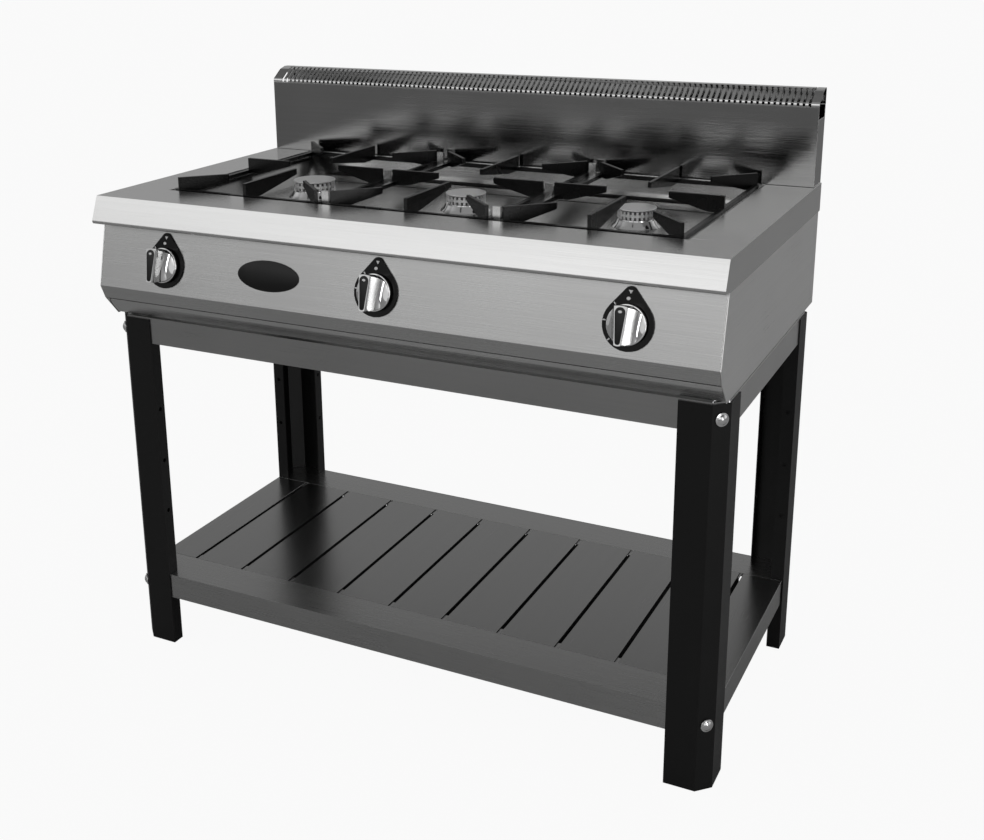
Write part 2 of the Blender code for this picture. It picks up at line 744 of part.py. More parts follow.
def tap(side):
    """A tap on its own tilted axis: bezel, valve, sprung spindle and knob."""
    at = tap_origin(SIDES[side])

    def on_axis(distance):
        return at + OUT * distance

    bezel_top = GAP + 0.0025
    teardrop = list(arc((0, 0), BEZEL_R, 140, 400, 20))
    teardrop += list(arc((0, BEZEL_PEAK - 0.010), 0.010, 50, 130, 4))
    bezel = outline("tap_bezel_" + side, teardrop, "Z", GAP, bezel_top, PLASTIC)
    bezel.matrix_world = Matrix.Translation(at) @ Matrix((
        (1, UP.x, OUT.x, 0),
        (0, UP.y, OUT.y, 0),
        (0, UP.z, OUT.z, 0),
        (0, 0, 0, 1),
    ))
    hole = shapes(f"tap_bezel_{side}_hole", (at, OUT, PANEL_HOLE, 0.02), helper=True)
    combine(bezel, hole, "DIFFERENCE")

    behind = -SHEET - 0.004
    body = [
        (0, behind),
        (0.010, behind),
        (0.010, behind - 0.004),
        (0.014, behind - 0.006),
        (0.014, VALVE_END),
        (0, VALVE_END),
    ]
    valve = turned("tap_valve_" + side, body, at, OUT, BRASS, steps=16)
    burner_x = SIDES[side] * BURNER_PITCH
    start = on_axis(VALVE_END * 0.7) + Vector((0, 0, 0.008))
    rise = HOB_FLOOR - 0.026 - GAP * 3
    route = [start, start + Vector((0, 0, 0.010))]
    route += [(start.x, start.y + 0.010, 0.770), (burner_x, HOB_Y - 0.010, 0.770)]
    route += [(burner_x, HOB_Y, 0.775), (burner_x, HOB_Y, rise)]
    feed = tube(f"tap_valve_{side}_feed", route, 0.004, BRASS, helper=True)
    join(valve, feed)
    socket = (on_axis(behind - 0.006), OUT, 0.0045, 0.016)
    cut(valve, socket)

    root, tip = behind - 0.007, bezel_top + PUSH + GAP + 0.014
    rod = [(0, tip), (0.004, tip), (0.004, root), (0, root)]
    turned("tap_spindle_" + side, rod, at, OUT, BRIGHT, steps=12)

    foot = bezel_top + PUSH + GAP * 2
    skirt = [
        (0, foot + 0.010),
        (0.020, foot + 0.010),
        (0.0262, foot + 0.0075),
        (KNOB_R, foot + 0.0015),
        (KNOB_R, foot),
        (0, foot),
    ]
    knob = turned("knob_" + side, skirt, at, OUT, BRIGHT, steps=24)
    grip = [
        (-GRIP_HALF, foot + 0.001),
        (-GRIP_HALF, KNOB_DEPTH),
        (GRIP_HALF, KNOB_DEPTH),
        (GRIP_HALF, foot + 0.001),
    ]
    bar = outline(f"knob_{side}_grip", grip, "X", -0.0055, 0.0055, helper=True)
    bar.matrix_world = Matrix.Translation(at) @ Matrix((
        (1, 0, 0, 0),
        (0, UP.y, OUT.y, 0),
        (0, UP.z, OUT.z, 0),
        (0, 0, 0, 1),
    ))
    join(knob, bar)
    cut(knob, (on_axis(foot + 0.005), OUT, 0.0043, 0.022))


def gas_manifold():
    """The pipe behind the taps, led round to the inlet in the back."""
    axis = tap_origin(0) + OUT * (VALVE_END - GAP * 2 - PIPE_R)
    y, z = axis.y, axis.z
    bend, end_x = 0.030, INLET_X
    route = [(-0.440, y, z), (end_x - bend, y, z)]
    for u, v in arc((end_x - bend, y + bend), bend, -75, 0, 5):
        route.append((u, v, z))
    route += [(end_x, BACK - 0.09, z), (end_x, BACK - 0.06, INLET_Z), (end_x, BACK - 0.022, INLET_Z)]
    pipe = tube("gas_manifold", route, PIPE_R, BRASS, resolution=3)
    fitting = shapes(
        "gas_inlet_fitting", ((end_x, BACK - 0.0135, INLET_Z), (0, 1, 0), 0.0120, 0.025), helper=True
    )
    return join(pipe, fitting)


for side, radius in CAP_RADII.items():
    burner(side, radius)
    grate(side)
    tap(side)
gas_manifold()
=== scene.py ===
# %% [markdown]
# # A three-burner gas range top on an open stand
#
# The real object is a catering unit. A shallow body of brushed stainless steel carries a sunk hob
# with three burners and three cast grates, and a tall flue stands behind it. The body rests on four
# folded legs with a slatted shelf between them. The engineering model already holds every part at
# its true size, so this lesson keeps those places and gives the parts their finish and fine detail.

# %% Load the frame
import json
import math

import bmesh
import bpy
from mathutils import Matrix, Vector


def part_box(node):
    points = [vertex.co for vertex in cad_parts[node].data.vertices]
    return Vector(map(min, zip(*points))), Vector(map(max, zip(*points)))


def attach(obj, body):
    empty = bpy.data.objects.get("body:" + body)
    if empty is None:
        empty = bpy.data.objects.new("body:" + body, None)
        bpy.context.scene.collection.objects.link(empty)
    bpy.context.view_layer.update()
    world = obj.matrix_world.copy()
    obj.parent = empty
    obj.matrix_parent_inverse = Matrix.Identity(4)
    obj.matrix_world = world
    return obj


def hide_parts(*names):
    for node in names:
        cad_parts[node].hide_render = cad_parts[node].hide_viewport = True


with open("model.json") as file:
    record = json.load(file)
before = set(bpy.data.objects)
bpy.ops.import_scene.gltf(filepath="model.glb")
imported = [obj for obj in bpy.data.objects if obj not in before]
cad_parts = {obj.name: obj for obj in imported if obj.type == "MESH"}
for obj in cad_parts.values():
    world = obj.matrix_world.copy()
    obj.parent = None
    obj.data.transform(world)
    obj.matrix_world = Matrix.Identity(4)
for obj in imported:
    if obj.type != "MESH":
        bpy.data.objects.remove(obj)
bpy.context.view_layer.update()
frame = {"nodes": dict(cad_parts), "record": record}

# %% [markdown]
# The imported record says which body each part rides on and which finish slot it belongs to. One
# small table of bodies and one of joints serve the whole lesson.

# %% Bodies and slots
record = frame["record"]
body_of = {
    node: body
    for body, nodes in record["behaviour"]["bodies"].items()
    for node in nodes
}
joint_of = {row["name"]: row for row in record["behaviour"]["joints"]}
SIDES = ("left", "middle", "right")
CORNERS = ("front_left", "front_right", "rear_left", "rear_right")


def corner_signs(corner):
    """The signs of X and Y at a named corner."""
    return (1 if "right" in corner else -1), (1 if "rear" in corner else -1)


# %% [markdown]
# ## The studio
#
# A catalogue view of such a unit is taken from a little right of centre and just above the
# worktop. A long lens keeps the verticals calm, and a small upward shift of the lens keeps the
# whole stand in the frame.

# %% Camera
CAMERA_AT = (0.9661, -1.9196, 1.2732)
AZIMUTH, ELEVATION, ROLL = 27.013, 16.259, -0.722
LENS, SHIFT = 47.156, (0.0427, -0.1148)


def aim(azimuth, elevation, roll):
    """The rotation of a camera that looks back at the object from these angles in degrees."""
    a, e = math.radians(azimuth), math.radians(elevation)
    back = Vector((math.sin(a) * math.cos(e), -math.cos(a) * math.cos(e), math.sin(e)))
    right = Vector((math.cos(a), math.sin(a), 0))
    turn = Matrix((right, back.cross(right), back)).transposed()
    return turn @ Matrix.Rotation(math.radians(roll), 3, "Z")


camera = bpy.data.objects.new("camera", bpy.data.cameras.new("camera"))
bpy.context.scene.collection.objects.link(camera)
camera.matrix_world = (
    Matrix.Translation(CAMERA_AT) @ aim(AZIMUTH, ELEVATION, ROLL).to_4x4()
)
camera.data.lens = LENS
camera.data.shift_x, camera.data.shift_y = SHIFT
bpy.context.scene.camera = camera
bpy.context.scene.view_settings.view_transform = "Standard"
print("camera", CAMERA_AT, "lens", LENS)

# %% [markdown]
# ## Node trees as expressions
#
# Shader maths reads best as plain arithmetic. A small class wraps an output socket and turns each
# operator into a Math node. Every other node comes from one method, which takes the node's type,
# its settings and the values or links of its sockets. The same builder serves geometry nodes.


# %% Graph and Signal
class Signal:
    """An output socket that understands arithmetic."""

    def __init__(self, graph, socket):
        self.graph = graph
        self.socket = socket

    def math(self, operation, first, second):
        return self.graph.add("ShaderNodeMath", {"operation": operation}, {0: first, 1: second})

    def __add__(self, other):
        return self.math("ADD", self, other)

    def __sub__(self, other):
        return self.math("SUBTRACT", self, other)

    def __rsub__(self, other):
        return self.math("SUBTRACT", other, self)

    def __mul__(self, other):
        return self.math("MULTIPLY", self, other)

    __radd__ = __add__
    __rmul__ = __mul__


class Graph:
    """A node tree that is built one node at a time."""

    def __init__(self, tree):
        self.tree = tree

    def add(self, kind, settings=None, inputs=None, output=0):
        node = self.tree.nodes.new(kind)
        for key, value in (settings or {}).items():
            setattr(node, key, value)
        for key, value in (inputs or {}).items():
            self.feed(node.inputs[key], value)
        return Signal(self, node.outputs[output]) if len(node.outputs) else node

    def feed(self, socket, value):
        if isinstance(value, Signal):
            self.tree.links.new(value.socket, socket)
        else:
            socket.default_value = value


def noise(graph, place, scale, detail=3.0):
    """Noise from 0 to 1 over object coordinates that are scaled on each axis."""
    stretched = graph.add("ShaderNodeMapping", {}, {"Vector": place, "Scale": scale})
    return graph.add(
        "ShaderNodeTexNoise", {}, {"Vector": stretched, "Scale": 1.0, "Detail": detail}
    )


def new_material(name):
    """A material with its graph, its Principled shader and its object coordinates."""
    made = bpy.data.materials.new(name)
    made.use_nodes = True
    graph = Graph(made.node_tree)
    shader = made.node_tree.nodes["Principled BSDF"]
    place = graph.add("ShaderNodeTexCoord", output="Object")
    return made, graph, shader, place


print("node helpers ready")

# %% [markdown]
# ## Brushed steel
#
# Stainless sheet is ground with a belt, which leaves long fine lines in one direction. The lines
# tilt the surface only across their length, so highlights smear across the grain. Three layers of
# noise give it: fine lines, broader bands and slow clouds. They move the colour a little, the
# roughness a little more, and the lines also feed a shallow bump.


# %% Brushed steel
def brushed(name, shade, roughness, along="X", grain=0.10, bands=0.08, bump=0.25):
    made, graph, shader, place = new_material(name)
    fine_scale = {"X": (9, 1100, 1100), "Y": (1100, 9, 1100), "Z": (1100, 1100, 9)}[along]
    band_scale = {"X": (1.6, 190, 190), "Y": (190, 1.6, 190), "Z": (190, 190, 1.6)}[along]
    fine = noise(graph, place, fine_scale, 2.0)
    band = noise(graph, place, band_scale, 3.0)
    cloud = noise(graph, place, (5.0, 5.0, 5.0), 2.0)
    level = shade * (1.0 + (fine - 0.5) * grain + (band - 0.5) * bands + (cloud - 0.5) * 0.10)
    colour = graph.add(
        "ShaderNodeCombineColor", {}, {"Red": level, "Green": level, "Blue": level * 0.995}
    )
    graph.feed(shader.inputs["Base Color"], colour)
    rough = roughness + (fine - 0.5) * 0.10 + (cloud - 0.5) * 0.08
    graph.feed(shader.inputs["Roughness"], rough)
    lines = graph.add(
        "ShaderNodeBump",
        {},
        {"Height": fine * 0.6 + band * 0.4, "Strength": bump, "Distance": 0.0004},
    )
    graph.feed(shader.inputs["Normal"], lines)
    shader.inputs["Metallic"].default_value = 1.0
    return made


# The shades differ from part to part by more than the steel itself does. Each is set so that its
# part comes out as bright as it looks in its light, which is painted light and shade. The sides
# take a lighter copy, and the rails along the front and back and the shelf take darker ones.
worktop_steel = brushed("worktop_steel", 0.74, 0.24)
panel_steel = brushed("panel_steel", 0.60, 0.26)
side_steel_painted_light = brushed("side_steel_painted_light", 0.94, 0.30, along="Y")
splash_steel = brushed("splash_steel", 0.36, 0.12, bump=0.20, bands=0.16)
hob_steel = brushed("hob_steel", 0.66, 0.24)
rail_steel = brushed("rail_steel", 0.42, 0.30)
rail_side_steel = brushed("rail_side_steel", 0.60, 0.34, along="Y")
shelf_steel = brushed("shelf_steel", 0.36, 0.24, along="Y")
shelf_edge_steel = brushed("shelf_edge_steel", 0.44, 0.28)
vent_steel = brushed("vent_steel", 0.72, 0.12, bump=0.06)
print("brushed finishes:", 10)

# %% [markdown]
# ## Coated, cast and moulded finishes
#
# The legs carry a satin powder coat, whose skin is a very fine orange peel. The grates are black
# enamel, glossier and a little uneven. The burners and the knobs are polished bright. Brass shows
# only inside. One function makes them all, because they differ in numbers and not in kind.


# %% Coats and castings
def coated(
    name, colour, roughness, metallic=0.0, peel=900.0, depth=0.00006, mottle=0.15, specular=0.5
):
    made, graph, shader, place = new_material(name)
    skin = noise(graph, place, (peel, peel, peel), 2.0)
    patch = noise(graph, place, (14.0, 14.0, 14.0), 3.0)
    factor = 1.0 + (patch - 0.5) * mottle + (skin - 0.5) * mottle
    channels = dict(zip(("Red", "Green", "Blue"), (factor * c for c in colour)))
    graph.feed(
        shader.inputs["Base Color"], graph.add("ShaderNodeCombineColor", {}, channels)
    )
    graph.feed(shader.inputs["Roughness"], roughness + (patch - 0.5) * 0.10)
    peel_bump = graph.add(
        "ShaderNodeBump", {}, {"Height": skin, "Strength": 0.5, "Distance": depth}
    )
    graph.feed(shader.inputs["Normal"], peel_bump)
    shader.inputs["Metallic"].default_value = metallic
    shader.inputs["Specular IOR Level"].default_value = specular
    return made


leg_paint = coated("leg_paint", (0.003, 0.003, 0.003), 0.40, specular=0.34)
grate_enamel = coated(
    "grate_enamel", (0.003, 0.003, 0.003), 0.26, peel=420, depth=0.0002, specular=0.32
)
bezel_black = coated(
    "bezel_black", (0.004, 0.004, 0.004), 0.14, peel=700, depth=0.00002, specular=0.22
)
grip_black = coated("grip_black", (0.006, 0.006, 0.006), 0.30, peel=1200, specular=0.3)
badge_black = coated("badge_black", (0.006, 0.006, 0.006), 0.30, depth=0.00002, specular=0.3)
knob_chrome = coated("knob_chrome", (0.88, 0.88, 0.88), 0.05, 1.0, 300, 0.00001, mottle=0.03)
bolt_zinc = coated("bolt_zinc", (0.80, 0.80, 0.80), 0.16, 1.0, 600, 0.00003, mottle=0.08)
burner_rim = coated("burner_rim", (0.95, 0.95, 0.95), 0.42, 1.0, 500, 0.00003)
burner_polish = coated("burner_polish", (0.82, 0.82, 0.82), 0.13, 1.0, 500, 0.00004, mottle=0.08)
burner_port_shade = coated("burner_port_shade", (0.10, 0.10, 0.10), 0.45, 0.8, 500, 0.0001)
valve_brass = coated("valve_brass", (0.70, 0.52, 0.22), 0.28, 1.0)
# Near-black for painted shade in slots, gaps and openings, and for the dark seam on the hob floor.
painted_shade_and_seam_black = coated("painted_shade_and_seam_black", (0.010, 0.010, 0.010), 0.60, specular=0.2)
mark_white = coated("mark_white", (0.80, 0.80, 0.80), 0.40, peel=1500, mottle=0.04)
print("coated finishes:", 12)

# %% [markdown]
# The burner caps were faced on a lathe, which leaves rings round the centre instead of straight
# lines. The distance from the cap's axis drives the noise, so the rings follow each cap.


# %% Turned finish
def faced(name, shade, centre):
    made, graph, shader, place = new_material(name)
    offset = graph.add(
        "ShaderNodeVectorMath", {"operation": "SUBTRACT"}, {0: place, 1: centre}
    )
    flat = graph.add(
        "ShaderNodeVectorMath", {"operation": "MULTIPLY"}, {0: offset, 1: (1.0, 1.0, 0.0)}
    )
    distance = graph.add(
        "ShaderNodeVectorMath", {"operation": "LENGTH"}, {0: flat}, output="Value"
    )
    rings = graph.add(
        "ShaderNodeTexNoise",
        {"noise_dimensions": "1D"},
        {"W": distance * 1400.0, "Scale": 1.0, "Detail": 2.0},
    )
    level = shade * (1.0 + (rings - 0.5) * 0.14)
    colour = graph.add(
        "ShaderNodeCombineColor", {}, {"Red": level, "Green": level, "Blue": level}
    )
    graph.feed(shader.inputs["Base Color"], colour)
    graph.feed(shader.inputs["Roughness"], 0.44 + (rings - 0.5) * 0.12)
    grooves = graph.add(
        "ShaderNodeBump", {}, {"Height": rings, "Strength": 0.3, "Distance": 0.0002}
    )
    graph.feed(shader.inputs["Normal"], grooves)
    shader.inputs["Metallic"].default_value = 1.0
    return made


print("turned finish ready")

# %% [markdown]
# ## Making pieces
#
# Each piece is a mesh at the origin that rides on one body, takes a finish slot and may stand for
# CAD nodes. Sheet metal never has a knife edge, so most CAD nodes are shown by a softened copy:
# merged, with the flat triangles joined, and with a small bevel on every edge that catches light.


# %% Piece helpers
def add_piece(mesh, name, finish, node, replaces=(), smooth=True):
    """Puts a mesh in the scene so that it rides with a CAD node's body and takes its slot."""
    mesh.name = name
    if not mesh.materials:
        mesh.materials.append(finish)
    obj = bpy.data.objects.new(name, mesh)
    bpy.context.scene.collection.objects.link(obj)
    if smooth:
        mesh.shade_smooth()
        mesh.set_sharp_from_angle(angle=math.radians(35))
    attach(obj, body_of[node])
    if replaces:
        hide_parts(*replaces)
    return obj


def mesh_from(bm, name):
    mesh = bpy.data.meshes.new(name)
    bm.to_mesh(mesh)
    bm.free()
    return mesh


def baked(obj):
    """The mesh that an object's modifiers give, with the object itself removed."""
    graph = bpy.context.evaluated_depsgraph_get()
    mesh = bpy.data.meshes.new_from_object(obj.evaluated_get(graph))
    bpy.data.objects.remove(obj)
    return mesh


def temporary(mesh, name="temporary"):
    obj = bpy.data.objects.new(name, mesh)
    bpy.context.scene.collection.objects.link(obj)
    return obj


def merged(node, flats_joined):
    """A copy of a CAD node's mesh with shared corners, and optionally with its flats joined."""
    bm = bmesh.new()
    bm.from_mesh(frame["nodes"][node].data)
    bmesh.ops.remove_doubles(bm, verts=bm.verts, dist=0.00002)
    if flats_joined:
        bmesh.ops.dissolve_limit(
            bm, angle_limit=math.radians(1.5), verts=bm.verts, edges=bm.edges
        )
    return mesh_from(bm, node)


def rounded(mesh, radius, segments):
    obj = temporary(mesh)
    bevel = obj.modifiers.new("edges", "BEVEL")
    bevel.width = radius
    bevel.segments = segments
    bevel.limit_method = "ANGLE"
    bevel.angle_limit = math.radians(30)
    return baked(obj)


def surface(mesh):
    mesh.calc_loop_triangles()
    return sum(triangle.area for triangle in mesh.loop_triangles)


def flat_shaded(obj):
    """Keeps large faces flat beside small rounded ones."""
    flats = obj.modifiers.new("flats", "WEIGHTED_NORMAL")
    flats.keep_sharp = True
    return obj


def softened(node, finish, radius=0.0005, segments=2, walls=None):
    """Shows a CAD node by a merged copy whose sharp edges are rounded.

    A second finish may go on the walls, which are the faces that look along X.
    """
    plain = merged(node, flats_joined=False)
    mesh = rounded(merged(node, flats_joined=True), radius, segments)
    if surface(mesh) > surface(plain) * 1.01:  # a joined flat with a hole in it was filled
        mesh = rounded(plain, radius, segments)
    mesh.materials.clear()
    if walls:
        mesh.materials.append(finish)
        mesh.materials.append(walls)
        for face in mesh.polygons:
            face.material_index = int(abs(face.normal.x) > 0.75)
    shown = add_piece(mesh, node + "_finished", finish, node, [node], smooth=False)
    mesh.shade_smooth()
    return flat_shaded(shown)


print("piece helpers ready")

# %% [markdown]
# ## The stand
#
# The legs are folded from two-millimetre sheet and painted. The rails and the shelf stay bare
# steel. The grain of a rolled part runs along its length, so front parts and side parts take
# differently turned finishes. The front and rear rails and the shelf also take darker copies of the
# steel, as painted shade. The walls of the slats are painted near-black, as painted shade, which
# draws the slots between them as firm lines.

# %% Legs, rails and shelf
for corner in CORNERS:
    softened("leg_" + corner, leg_paint, 0.0006)
for where in ("front", "rear"):
    softened("rail_" + where, rail_steel)
    softened("shelf_" + where, shelf_edge_steel)
for where in ("left", "right"):
    softened("rail_" + where, rail_side_steel)
    softened("shelf_" + where, shelf_steel)
slats = [name for name in frame["nodes"] if name.startswith("shelf_slat_")]
for name in slats:
    # The slat walls take the near-black finish: painted shade in the slots.
    softened(name, shelf_steel, 0.0005, walls=painted_shade_and_seam_black)
print("stand: 4 legs, 4 rails, 4 shelf borders and", len(slats), "slats")

# %% [markdown]
# ## Turned parts
#
# Bolts, burners and caps are turned shapes. A profile of radius and height is spun round an axis,
# which is quicker and cleaner than cutting. Rounded corners come from arcs in the profile.


# %% Lathe
def arc(centre, radius, start, end, steps=5):
    """Points on an arc, with angles in degrees."""
    for i in range(steps + 1):
        turn = math.radians(start + (end - start) * i / steps)
        yield centre[0] + radius * math.cos(turn), centre[1] + radius * math.sin(turn)


def stand_on(at, axis):
    """A matrix that puts local Z along an axis at a place."""
    return Matrix.Translation(at) @ Vector(axis).to_track_quat("Z", "Y").to_matrix().to_4x4()


def lathe(profile, at, axis=(0, 0, 1), steps=64):
    """A closed turned mesh from points of radius and height, from the top centre down."""
    bm = bmesh.new()
    verts = [bm.verts.new((r, 0, h)) for r, h in profile]
    edges = [bm.edges.new(pair) for pair in zip(verts, verts[1:])]
    bmesh.ops.spin(
        bm, geom=verts + edges, axis=(0, 0, 1), cent=(0, 0, 0), angle=math.tau, steps=steps
    )
    bmesh.ops.remove_doubles(bm, verts=bm.verts, dist=1e-6)
    bmesh.ops.recalc_face_normals(bm, faces=bm.faces)
    bm.transform(stand_on(at, axis))
    return mesh_from(bm, "turned")


print("lathe ready")

# %% [markdown]
# Flat parts such as badges, marks and clips are an outline with a thickness. The outline is drawn
# in X and Y, and a matrix puts it in place.


# %% Flat shapes
def plate(points, low, high, matrix, bevel=0.0003):
    """A flat outline with a thickness and softened edges, put in place by a matrix."""
    bm = bmesh.new()
    face = bm.faces.new([bm.verts.new((x, y, low)) for x, y in points])
    made = bmesh.ops.extrude_face_region(bm, geom=[face])["geom"]
    moved = [v for v in made if isinstance(v, bmesh.types.BMVert)]
    bmesh.ops.translate(bm, vec=(0, 0, high - low), verts=moved)
    bmesh.ops.recalc_face_normals(bm, faces=bm.faces)
    obj = temporary(mesh_from(bm, "plate"))
    edges = obj.modifiers.new("edges", "BEVEL")
    edges.width = bevel
    edges.segments = 2
    edges.limit_method = "ANGLE"
    edges.angle_limit = math.radians(40)
    mesh = baked(obj)
    mesh.transform(matrix)
    return mesh


def stand_up(at, out):
    """A matrix whose Z points out of a leaning face and whose Y runs up it."""
    right = Vector((0, 0, 1)).cross(out).normalized()
    turn = Matrix((right, out.cross(right), out)).transposed()
    return Matrix.Translation(at) @ turn.to_4x4()


print("flat shapes ready")

# %% [markdown]
# Each corner is held by two dome-headed bolts, with a flange under the dome and a nut inside the
# leg. The CAD bolt's box gives its middle, and the dome points out along the corner's diagonal.

# %% Bolts
HEAD_R, SHANK_R, NUT_R = 0.0105, 0.004, 0.0075
HEAD_HIGH, BOLT_LONG, CORNER_FLAT = 0.0055, 0.0131, 0.0213


def bolt_profile():
    dome = list(arc((0, -0.0056), 0.0111, 90, 44, 7))
    flange = [(0.0084, 0.0020), *arc((HEAD_R - 0.0006, 0.0011), 0.0006, 90, -60, 4)]
    shank = [(HEAD_R - 0.0007, 0.0003), (SHANK_R, 0.0003), (SHANK_R, -0.0041)]
    nut = [(NUT_R, -0.0041), (NUT_R, -0.0101), (SHANK_R, -0.0101), (SHANK_R, -BOLT_LONG)]
    return [*dome, *flange, *shank, *nut, (0, -BOLT_LONG)]


def add_bolt(node, corner):
    low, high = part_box(node)
    out = Vector((*corner_signs(corner), 0)).normalized()
    middle = (Vector(low) + Vector(high)) / 2
    reach = (HEAD_HIGH - BOLT_LONG) / 2
    at = middle - out * reach
    add_piece(lathe(bolt_profile(), at, out, 40), node + "_finished", bolt_zinc, node, [node])


for corner in CORNERS:
    add_bolt("top_bolt_" + corner, corner)
    add_bolt("shelf_bolt_" + corner, corner)
print("bolts:", 2 * len(CORNERS))

# %% [markdown]
# A short black plate stands behind each leg's corner flat and fills the gap under the body. It is
# painted shade, for the dark inside of the joint.

# %% Corner shades
SHADE_WIDE, SHADE_LOW, SHADE_IN, SHADE_SHEET = 0.024, 0.6215, 0.0030, 0.0012
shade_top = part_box("body_right")[0][2] - 0.0002
for corner in CORNERS:
    low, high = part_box("leg_" + corner)
    sx, sy = corner_signs(corner)
    out = Vector((sx, sy, 0)).normalized()
    x, y = (high[0] if sx > 0 else low[0]), (high[1] if sy > 0 else low[1])
    flat = Vector((x - sx * CORNER_FLAT / 2, y - sy * CORNER_FLAT / 2, SHADE_LOW))
    half, tall = SHADE_WIDE / 2, shade_top - SHADE_LOW
    shape = [(-half, 0), (half, 0), (half, tall), (-half, tall)]
    shade_plate = plate(shape, -SHADE_SHEET, 0.0, stand_up(flat - out * SHADE_IN, out))
    add_piece(shade_plate, "corner_shade_" + corner, painted_shade_and_seam_black, "leg_" + corner)
print("corner stops:", len(CORNERS))

# %% [markdown]
# ## The body and the worktop
#
# The body is a plain box of folded sheet behind a sloping panel. The worktop drops over it like a
# lid, with a nosing that rolls under the front edge. Its folds are two millimetres round, rounder
# than those of the thinner sheets. The grain runs across the front parts and front to back on the
# sides.

# %% Body sheets
softened("worktop", worktop_steel, 0.0020, 4)
softened("control_panel", panel_steel, 0.0008, 3)
# The side sheets take the lighter copy of the steel, as painted light.
softened("body_left", side_steel_painted_light)
softened("body_right", side_steel_painted_light)
softened("body_back", panel_steel)
softened("drip_tray", panel_steel, 0.0004)
softened("backsplash", splash_steel, 0.0006)
softened("hob_tray", hob_steel, 0.0006)
print("body sheets: 8")

# %% [markdown]
# The parts inside the body are seldom seen. They keep their plain CAD shape and take a finish.


# %% Gas train
def finished_as_is(node, finish):
    """Gives a CAD node a finish and leaves its shape alone."""
    materials = frame["nodes"][node].data.materials
    materials.clear()
    materials.append(finish)


for side in SIDES:
    finished_as_is("tap_valve_" + side, valve_brass)
    finished_as_is("tap_spindle_" + side, bolt_zinc)
finished_as_is("gas_manifold", valve_brass)
print("gas train: 3 valves, 3 spindles, 1 manifold")

# %% [markdown]
# ## Repeats with geometry nodes
#
# The vent cap has over a hundred bars and each burner has dozens of teeth. Both are one small seed
# shape that is repeated, so two trees do all of it. One steps the seed along X, and the other
# turns it round Z. Each tree names its inputs, joins the copies into real mesh and sets the finish.


# %% Repeating trees
def repeat_tree(name, turning):
    tree = bpy.data.node_groups.new(name, "GeometryNodeTree")
    face = tree.interface
    face.new_socket("Geometry", in_out="INPUT", socket_type="NodeSocketGeometry")
    face.new_socket("Count", in_out="INPUT", socket_type="NodeSocketInt")
    face.new_socket("Step", in_out="INPUT", socket_type="NodeSocketFloat")
    face.new_socket("Finish", in_out="INPUT", socket_type="NodeSocketMaterial")
    face.new_socket("Geometry", in_out="OUTPUT", socket_type="NodeSocketGeometry")
    graph = Graph(tree)
    given = tree.nodes.new("NodeGroupInput")
    seed, count, step, finish = (Signal(graph, given.outputs[i]) for i in range(4))
    travel = graph.add("ShaderNodeCombineXYZ", {}, {"X": 0.0 if turning else step})
    line = graph.add("GeometryNodeMeshLine", {}, {"Count": count, "Offset": travel})
    index = graph.add("GeometryNodeInputIndex")
    turn = graph.add("ShaderNodeCombineXYZ", {}, {"Z": index * step if turning else 0.0})
    copies = graph.add(
        "GeometryNodeInstanceOnPoints",
        {},
        {"Points": line, "Instance": seed, "Rotation": turn},
    )
    real = graph.add("GeometryNodeRealizeInstances", {}, {"Geometry": copies})
    set_finish = graph.add(
        "GeometryNodeSetMaterial", {}, {"Geometry": real, "Material": finish}
    )
    result = tree.nodes.new("NodeGroupOutput")
    graph.feed(result.inputs[0], set_finish)
    return tree


def repeated(seed_mesh, tree, count, step, finish):
    """The mesh of a seed that is repeated by a tree."""
    obj = temporary(seed_mesh)
    maker = obj.modifiers.new("repeat", "NODES")
    maker.node_group = tree
    values = {"Count": count, "Step": step, "Finish": finish}
    for item in tree.interface.items_tree:
        if item.in_out == "INPUT" and item.name in values:
            maker[item.identifier] = values[item.name]
    return baked(obj)


along_x = repeat_tree("along_x", turning=False)
round_z = repeat_tree("round_z", turning=True)
print("repeating trees:", along_x.name, round_z.name)

# %% [markdown]
# ## The vent cap
#
# Hot air leaves through a row of slots that run from the lip over two slopes. Drawing the slots as
# dark stripes would look flat, so the bars between them are made instead, and the gaps are real.
# Every part of the cap is a strip that follows one fold line, given a thickness by Solidify. On the
# upper slope the bars lean to one side, which gives the edge its herringbone look.

# %% Vent cap shape
cap_low, cap_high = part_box("vent_cap")
CAP_SHEET = 0.0015
LIP_HIGH = 0.0062
SLOPE_1 = (0.025, 0.017)
SLOPE_2 = (0.041, 0.0214)
SLOT_PITCH, BAR_WIDE = 0.0097, 0.0052
SLOTS_FROM, SLOTS_TO = 0.020, 0.0137
LEAN = -0.0048
FOOT_CLEAR, SLOT_END, OVERLAP = 0.0010, 0.80, 0.002


def between(a, b, share):
    return tuple(p + (q - p) * share for p, q in zip(a, b))


def bend(before, corner, after, reach, steps=5):
    """Points of a rounded fold that starts and ends at a distance from the corner."""
    start = between(corner, before, reach / math.dist(corner, before))
    end = between(corner, after, reach / math.dist(corner, after))
    for i in range(steps + 1):
        t = i / steps
        yield between(between(start, corner, t), between(corner, end, t), t)


cap_y, cap_z = cap_low[1], cap_low[2]
TOP_Z = cap_z + LIP_HIGH + SLOPE_2[1]
lip_foot = (cap_y, cap_z)
lip_top = (cap_y, cap_z + LIP_HIGH)
ridge = (cap_y + SLOPE_1[0], cap_z + LIP_HIGH + SLOPE_1[1])
crest = (cap_y + SLOPE_2[0], TOP_Z)
back_top, back_foot = (cap_high[1], TOP_Z), (cap_high[1], cap_z)
lip_bend = list(bend(lip_foot, lip_top, ridge, 0.0036))
ridge_bend = list(bend(lip_top, ridge, crest, 0.0020))
fold = [lip_foot, *lip_bend, *ridge_bend, crest, back_top, back_foot]
print("vent cap fold:", len(fold), "points")


